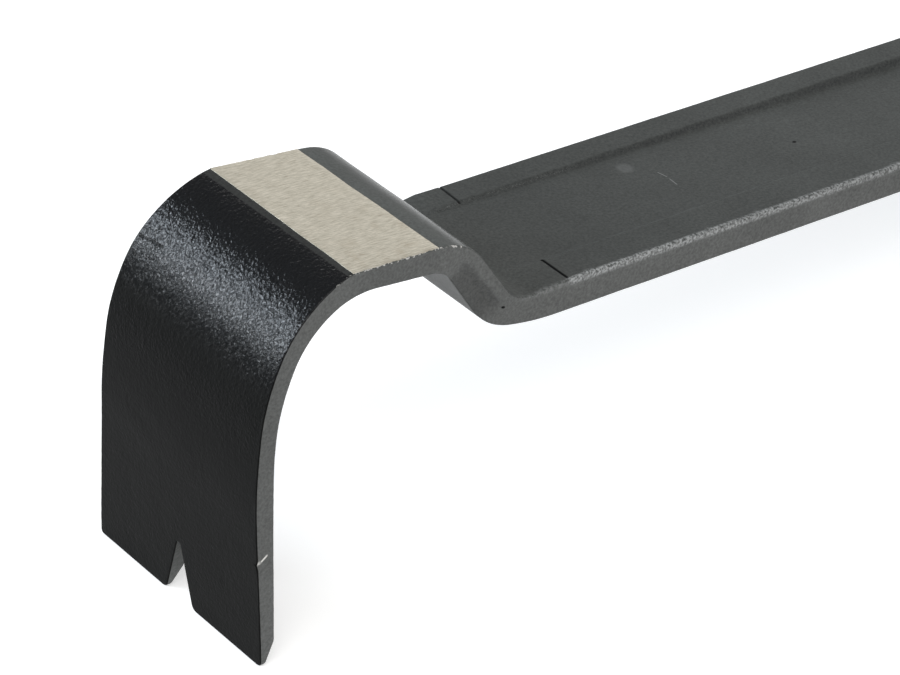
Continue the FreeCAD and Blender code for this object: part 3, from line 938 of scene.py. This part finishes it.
def add_striking_face(bar):
    claw_side = bar.joint["crease"] + FACE_CLAW_SIDE
    chisel_side = bar.joint["land"] - FACE_CHISEL_SIDE
    share = np.linspace(-1.0, 1.0, FACE_STEPS + 1)
    claw_run, chisel_run = [], []
    for t in share:
        y = t * face_half(bar, claw_side, t)
        claw_run.append(np.array([claw_side + ripple(y, 2.0, FACE_RUN_OUT), y]))
        y = t * face_half(bar, chisel_side, t)
        skew = FACE_SKEW * (t + 1.0) / 2.0
        chisel_run.append(np.array([chisel_side - skew + ripple(y, 6.0, FACE_RUN_OUT), y]))
    along = np.arange(claw_side + 0.4, chisel_side - 0.6, FACE_STEP_ALONG)
    far_side = [np.array([s, face_half(bar, s, 1.0)]) for s in reversed(along)]
    near_side = [np.array([s, -face_half(bar, s, -1.0)]) for s in along]
    outline = subdivided([*near_side, *chisel_run, *far_side, *claw_run[::-1]], lambda s: HOOK_SPACING)
    lines = np.arange(claw_side + 0.6, chisel_side - 1.1, HOOK_SPACING)
    inner_points = [(s, t * bar.half_width(s)) for s in lines for t in share if abs(t) < 0.96]
    plate = Plate(
        bar, [outline], inner_points, lambda bar, s: np.full(len(s), FACE_ROLL),
        lambda bar, s, y: 0.0 * s, lambda bar, s, y: 0.0 * s + FACE_THICKNESS)
    return plate.build("striking_face_steel")[0]


# ---- Materials ----

class Nodes:
    """Short calls for building one material's node tree."""

    def __init__(self, name):
        self.material = bpy.data.materials.new(name)
        self.material.use_nodes = True
        self.tree = self.material.node_tree
        self.tree.nodes.clear()
        self.shader = self.tree.nodes.new("ShaderNodeBsdfPrincipled")
        output = self.tree.nodes.new("ShaderNodeOutputMaterial")
        self.tree.links.new(self.shader.outputs["BSDF"], output.inputs["Surface"])
        self.object_space = self.add("TexCoord", "Object", {})

    def add(self, kind, output, inputs, **settings):
        """A new node's output. Its inputs are filled with links or plain values."""
        made = self.tree.nodes.new("ShaderNode" + kind)
        for key, value in settings.items():
            setattr(made, key, value)
        self.fill(made, inputs)
        return made.outputs[output]

    def fill(self, node, inputs):
        for name, value in inputs.items():
            if isinstance(value, bpy.types.NodeSocket):
                self.tree.links.new(value, node.inputs[name])
            else:
                node.inputs[name].default_value = value

    def attribute(self, name):
        return self.add("Attribute", "Fac", {}, attribute_name=name)

    def math(self, operation, a, b=0.0):
        return self.add("Math", 0, {0: a, 1: b}, operation=operation)

    def noise(self, size, detail=2.0, rough=0.5, vector=None, distortion=0.0):
        """Noise whose grains are about the given size, in millimetres."""
        return self.add("TexNoise", "Fac", {
            "Vector": vector or self.object_space, "Scale": 1.0 / (size * MM), "Detail": detail,
            "Roughness": rough, "Distortion": distortion})

    def cells(self, size, feature="SMOOTH_F1"):
        inputs = {"Vector": self.object_space, "Scale": 1.0 / (size * MM)}
        return self.add("TexVoronoi", "Distance", inputs, feature=feature)

    def span(self, value, from_low, from_high, to_low=0.0, to_high=1.0):
        return self.add("MapRange", "Result", {
            "Value": value, "From Min": from_low, "From Max": from_high, "To Min": to_low,
            "To Max": to_high}, clamp=True)

    def mix(self, share, a, b, kind="RGBA"):
        """Colour a where share is 0 and b where it is 1."""
        return self.add("Mix", "Result", {"Factor": share, "A": a, "B": b}, data_type=kind)

    def blend(self, share, a, b):
        """Number a where share is 0 and b where it is 1."""
        return self.mix(share, a, b, "FLOAT")

    def spot(self, u, v, centre, reach):
        """1 inside an oval on the bar's surface, fading to 0 at its rim; (u, v) in millimetres."""
        across = self.math("DIVIDE", self.minus(u, centre[0]), reach[0])
        up = self.math("DIVIDE", self.minus(v, centre[1]), reach[1])
        return self.span(self.plus(self.times(across, across), self.times(up, up)), 0.3, 1.0, 1.0, 0.0)

    def stroke(self, u, v, start, end, width):
        """1 on a straight stroke between two places on the surface, with soft sides and ends."""
        length = math.dist(start, end)
        way = ((end[0] - start[0]) / length, (end[1] - start[1]) / length)
        du, dv = self.minus(u, start[0]), self.minus(v, start[1])
        run = self.plus(self.times(du, way[0]), self.times(dv, way[1]))
        off = self.minus(self.times(du, way[1]), self.times(dv, way[0]))
        body = self.span(self.math("ABSOLUTE", off), width * 0.25, width * 0.6, 1.0, 0.0)
        ends = self.math("ABSOLUTE", self.minus(run, length / 2.0))
        return self.times(body, self.span(ends, length / 2.0 - width, length / 2.0, 1.0, 0.0))

    def tinted(self, colour, strength):
        inputs = {0: colour[:3] if isinstance(colour, tuple) else colour, "Scale": strength}
        return self.add("VectorMath", 0, inputs, operation="SCALE")

    def many(self, operation, values):
        first, *rest = values
        for value in rest:
            first = self.math(operation, first, value)
        return first

    def plus(self, *values):
        return self.many("ADD", values)

    def minus(self, *values):
        return self.many("SUBTRACT", values)

    def times(self, *values):
        return self.many("MULTIPLY", values)

    def most(self, *values):
        return self.many("MAXIMUM", values)

    def bump(self, height, distance, strength=1.0, normal=None):
        inputs = {"Strength": strength, "Distance": distance * MM, "Height": height}
        if normal:
            inputs["Normal"] = normal
        return self.add("Bump", "Normal", inputs)


class CoatMasks:
    """Where the coat differs: read from the painted attributes and from places on the bar."""

    def __init__(self, n, bar):
        for name in ("along", "across", "down", "hook", "band", "chip", "wall", "rise", "crest", "recess"):
            setattr(self, name, n.attribute(name))
        self.side = n.span(n.attribute("side"), 0.8, 1.0)
        self.on_top = n.span(self.side, *INVERSE)
        self.near_side = n.times(self.side, n.math("LESS_THAN", self.across, 0.0))
        self.facet = self.facet_mask(n, bar)
        self.gloss = n.times(n.attribute("gloss"), n.span(self.facet, *INVERSE), self.hook)
        wavy = n.plus(self.along, n.span(n.noise(1.2, detail=2.0), *MIDDLE, -0.15, 0.15))
        self.cracks = n.most(*(n.stroke(wavy, self.across, *ends, CRACK_WIDTH) for ends in BEND_CRACK))
        self.pits = self.pit_mask(n)
        hairs = n.most(*(n.stroke(self.along, self.across, *ends, HAIR_WIDTH) for ends in HAIR_SCRATCHES))
        scuff = n.times(n.spot(self.along, self.across, *SCUFF), SCUFF_STRENGTH)
        self.scuff = n.times(self.on_top, n.most(scuff, n.times(hairs, HAIR_STRENGTH)))
        nicks = n.most(*(n.stroke(self.along, self.down, *nick) for nick in NICK_SCRATCH))
        self.nick = n.times(self.near_side, nicks)
        # painted shade in the die marks
        self.marks = n.times(self.on_top, self.die_mark_painted_shade(n, bar))

    def facet_mask(self, n, bar):
        """The facet beside the crease, with a slightly ragged border."""
        ragged = n.span(n.noise(1.1, detail=3.0), *MIDDLE, -0.05, 0.05)
        slope = (FACET_FAR - FACET_NEAR) / CREASE_WIDTH
        middle = bar.joint["crease"] - (FACET_NEAR + FACET_FAR) / 2.0
        start = n.minus(middle, n.times(self.across, slope))
        past = n.plus(n.minus(self.along, start), ragged)
        return n.times(self.on_top, self.hook, n.span(past, *FACET_EDGE))

    def pit_mask(self, n):
        """The pits in the shank and the neck's side, and the specks on the blade."""
        shank_pit = n.times(self.on_top, n.spot(self.along, self.across, *SHANK_PIT))
        neck_pit = n.times(self.near_side, n.spot(self.along, self.down, *NECK_PIT))
        dots = n.math("LESS_THAN", n.cells(DOT_SPACING, "F1"), DOT_SIZE)
        dots = n.times(dots, self.on_top, n.math("LESS_THAN", self.along, DOTS_END))
        return n.most(shank_pit, neck_pit, dots)

    def die_mark_painted_shade(self, n, bar):
        """Painted shade in the transverse die marks over both rails."""
        inner = SHANK_WIDTH / 2.0 - RAIL_WIDTH
        far = n.math("GREATER_THAN", self.across, WEB_SHIFT + inner)
        near = n.math("LESS_THAN", self.across, WEB_SHIFT - inner)
        near = n.times(near, n.math("GREATER_THAN", self.across, -MARK_END_NEAR))
        offsets = [n.math("ABSOLUTE", n.minus(self.along, bar.at_x(x))) for x in (DIE_MARK_X, FAR_MARK_X)]
        lines = n.most(*(n.span(off, *MARK_EDGE) for off in offsets))
        return n.times(lines, n.plus(n.times(far, FAR_MARK_STRENGTH), near))


def coat_colour(n, m, grain, fine):
    crest = n.times(n.span(m.along, *CREST_TONE_END), n.math("GREATER_THAN", m.along, CREST_TONE_START))
    lengthwise = n.times(
        n.span(m.along, *ROOT_TONE), n.span(m.along, *SHANK_TONE), n.span(crest, *CREST_TONE))
    # Painted sheen: the shank's top is grey, scaled along the bar by the root, shank and crest tones.
    base = n.tinted(SHANK_PAINTED_SHEEN_GREY, lengthwise)
    base = n.mix(m.hook, base, n.mix(m.gloss, SATIN_BLACK, HOOK_BLACK))
    # Painted sheen on the facet beside the crease.
    base = n.mix(m.facet, base, FACET_PAINTED_SHEEN_GREY)
    # Painted reflection on the sides, with painted shade below the trim step.
    base = n.mix(m.side, base, n.tinted(SIDE_PAINTED_REFLECTION_GREY, n.span(m.recess, *RECESS_PAINTED_SHADE_TONE)))
    cloud = n.span(n.noise(14.0, detail=3.0), *MIDDLE, *CLOUD_TONE)
    base = n.tinted(base, n.times(cloud, n.span(grain, *MIDDLE, *SPECKLE_TONE)))
    # Painted shade on the wall down to the web.
    base = n.mix(wall_painted_shade_share(n, m, grain), base, WALL_PAINTED_SHADE_GREY)
    # Painted highlight and painted glints, with the real scuff.
    base = n.mix(painted_highlight_and_scuff_share(n, m, fine), base, PAINTED_HIGHLIGHT_AND_SCUFF_PALE)
    # Black for the painted shade in the die marks, the crack and the pits.
    return n.mix(n.most(m.marks, n.times(m.cracks, CRACK_STRENGTH), m.pits), base, SHADE_PIT_AND_CRACK_BLACK)


def wall_painted_shade_share(n, m, grain):
    """Painted shade on the wall between the rail and the web, broken up by the grain."""
    wall = n.times(m.wall, n.span(m.rise, 0.0, 1.0, *WALL_STRENGTH))
    return n.times(wall, n.span(grain, 0.35, 0.6, 1.0, 0.45))


def painted_highlight_and_scuff_share(n, m, fine):
    """Where pale is painted: glints on the wall and the highlight along the rolled edge, both painted
    light, and the real scuff and scratches.
    """
    glint_middle = n.span(m.wall, 0.5, 1.0)
    glint = n.times(glint_middle, n.span(m.rise, 0.0, 1.0, *GLINT_STRENGTH), n.span(fine, 0.52, 0.66))
    pale = n.times(m.band, n.span(n.noise(0.45, detail=2.0), 0.36, 0.64, 0.05, 0.95))
    return n.most(glint, n.times(pale, n.span(m.along, *BAND_TONE)), m.scuff)


def coat_bare(n, m, fine):
    """Share of bare bright metal: chips along the ground face and the scratch at the nick."""
    coarse = n.span(n.noise(0.55, detail=3.0), 0.35, 0.65)
    chipped = n.span(n.plus(n.times(m.chip, 0.8), n.times(coarse, 0.7)), 1.12, 1.3, 0.0, 0.75)
    return n.most(chipped, n.times(m.nick, n.span(fine, 0.3, 0.5, 0.6, 1.0)))


def coat_weight(n, m):
    """Gloss over the hook's coat: broken up below the bend, sparkling on it, even towards the crease."""
    broken = n.span(n.noise(0.6, detail=2.0), 0.47, 0.60)
    broken = n.blend(n.span(m.along, *GLOSS_BREAKS_END), broken, 1.0)
    sparkle = n.span(n.noise(0.42, detail=3.0, rough=0.6), 0.38, 0.62, *SPARKLE)
    sparkle = n.blend(n.span(m.along, *SPARKLE_END), sparkle, 0.9)
    gloss = n.times(m.gloss, broken, sparkle, n.span(m.cracks, 0.0, 1.0, 1.0, 0.4))
    return n.most(gloss, n.times(m.crest, 0.4))


def coat_relief(n, m):
    """Orange peel of the coat as a normal, deepest on the bend."""
    peel = n.plus(n.noise(0.62, detail=2.0, distortion=0.4), n.times(n.cells(0.9), 0.25))
    peel = n.plus(peel, n.times(n.noise(0.34, detail=1.0), 0.35))
    peel = n.minus(peel, n.plus(n.times(m.cracks, 0.5), m.pits))
    on_hook = n.times(n.span(m.along, *PEEL_START), n.span(m.along, *PEEL_END))
    depth = n.blend(m.side, n.blend(m.hook, SHANK_PEEL, on_hook), SIDE_PEEL)
    return n.bump(peel, PEEL_HEIGHT, depth)


def black_coat(bar):
    n = Nodes("black_coat")
    m = CoatMasks(n, bar)
    grain = n.noise(0.5, detail=4.0, rough=0.6)
    fine = n.noise(0.2, detail=2.0)
    bare = coat_bare(n, m, fine)
    rough = n.blend(m.side, n.blend(m.hook, SHANK_ROUGHNESS, HOOK_ROUGHNESS), SIDE_ROUGHNESS)
    rough = n.plus(rough, n.span(grain, *MIDDLE, -0.05, 0.05))
    relief = coat_relief(n, m)
    rough_grain = n.plus(0.3, n.times(n.most(m.wall, m.band, m.chip), 2.2))
    n.fill(n.shader, {
        "Base Color": n.mix(bare, coat_colour(n, m, grain, fine), BARE_STEEL),
        "Metallic": n.times(bare, 0.5),
        "Roughness": n.blend(bare, rough, BARE_ROUGHNESS),
        "Specular IOR Level": 0.03,
        "Coat Weight": coat_weight(n, m),
        "Coat Roughness": 0.11,
        "Coat IOR": 1.32,
        "Normal": n.bump(grain, GRAIN_HEIGHT, rough_grain, relief),
        "Coat Normal": relief,
    })
    return n.material


def ground_steel():
    n = Nodes("ground_steel")
    along, across = n.attribute("along"), n.attribute("across")
    lengthwise = {0: n.times(along, MM * STREAK_STRETCH), 1: n.times(across, MM)}
    place = n.add("CombineXYZ", 0, lengthwise)
    streaks = n.noise(0.21, detail=3.0, rough=0.6, vector=place)
    broad = n.noise(2.2, detail=3.0)
    grain = n.noise(0.35, detail=2.0)
    share = n.plus(n.times(streaks, 0.8), n.plus(n.times(broad, 0.1), n.times(grain, 0.1)))
    colour = n.mix(n.span(share, 0.36, 0.64), STEEL_DARK, STEEL_LIGHT)
    stain = n.span(n.noise(3.6, detail=4.0, rough=0.6), 0.52, 0.72, 0.0, STAIN_STRENGTH)
    n.fill(n.shader, {
        "Base Color": n.mix(n.times(stain, n.span(across, *STAIN_SIDE)), colour, STEEL_BROWN),
        "Metallic": 1.0,
        "Roughness": n.span(streaks, *MIDDLE, *STEEL_ROUGHNESS),
        "Normal": n.bump(streaks, STREAK_HEIGHT, 0.8),
    })
    return n.material


# ---- Stage, lights and camera ----

def add_floor():
    mesh = bpy.data.meshes.new("floor")
    h = FLOOR_SIZE / 2.0
    mesh.from_pydata([(-h, -h, 0.0), (h, -h, 0.0), (h, h, 0.0), (-h, h, 0.0)], [], [(0, 1, 2, 3)])
    floor = linked("floor", mesh)
    n = Nodes("pale_floor")
    n.fill(n.shader, {
        "Base Color": FLOOR_WHITE, "Roughness": 1.0, "Specular IOR Level": 0.0,
        "Emission Color": FLOOR_WHITE, "Emission Strength": FLOOR_GLOW,
    })
    mesh.materials.append(n.material)


def add_world():
    world = bpy.data.worlds.new("studio")
    world.use_nodes = True
    background = world.node_tree.nodes["Background"]
    background.inputs["Color"].default_value = WORLD_LIGHT
    background.inputs["Strength"].default_value = WORLD_STRENGTH
    bpy.context.scene.world = world


def direction(azimuth, elevation):
    """Unit vector at an azimuth from +Y towards +X and an elevation, in degrees."""
    az, el = math.radians(azimuth), math.radians(elevation)
    return Vector((math.sin(az) * math.cos(el), math.cos(az) * math.cos(el), math.sin(el)))


def stand(data, place, forward):
    """A lamp or camera at a place, looking forward."""
    made = linked(data.name, data)
    made.location = place
    made.rotation_mode = "QUATERNION"
    made.rotation_quaternion = forward.to_track_quat("-Z", "Y")
    return made


def add_softbox(name, azimuth, elevation, distance, size, power, colour):
    """Area light that looks at the hook."""
    way = direction(azimuth, elevation)
    light = bpy.data.lights.new(name, "AREA")
    light.shape = "RECTANGLE"
    light.size, light.size_y = size
    light.energy = power
    light.color = colour
    target = Vector((CAD_LOW.x * HOOK_MIDDLE[0], 0.0, CAD_HIGH.z * HOOK_MIDDLE[1]))
    stand(light, target + way * distance, -way)


def add_camera():
    face = Vector(mount("striking_face_top")["pos_m"])
    data = bpy.data.cameras.new("camera")
    data.lens = LENS
    data.clip_start = CLIP_START
    forward = direction(VIEW_AZIMUTH, -VIEW_ELEVATION)
    bpy.context.scene.camera = stand(data, face + FACE_TO_CAMERA, forward)


def finish_piece(piece, material, nodes):
    piece.data.materials.append(material)
    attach(piece, "root")
    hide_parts(*nodes)


bar = Bar()
coated_nodes = [name for name in frame["nodes"] if name != "striking_face"]
finish_piece(add_body(bar), black_coat(bar), coated_nodes)
finish_piece(add_striking_face(bar), ground_steel(), ["striking_face"])
add_floor()
add_world()
for softbox, settings in SOFTBOXES.items():
    add_softbox(softbox, *settings)
add_camera()
bpy.context.scene.view_settings.view_transform = "Standard"
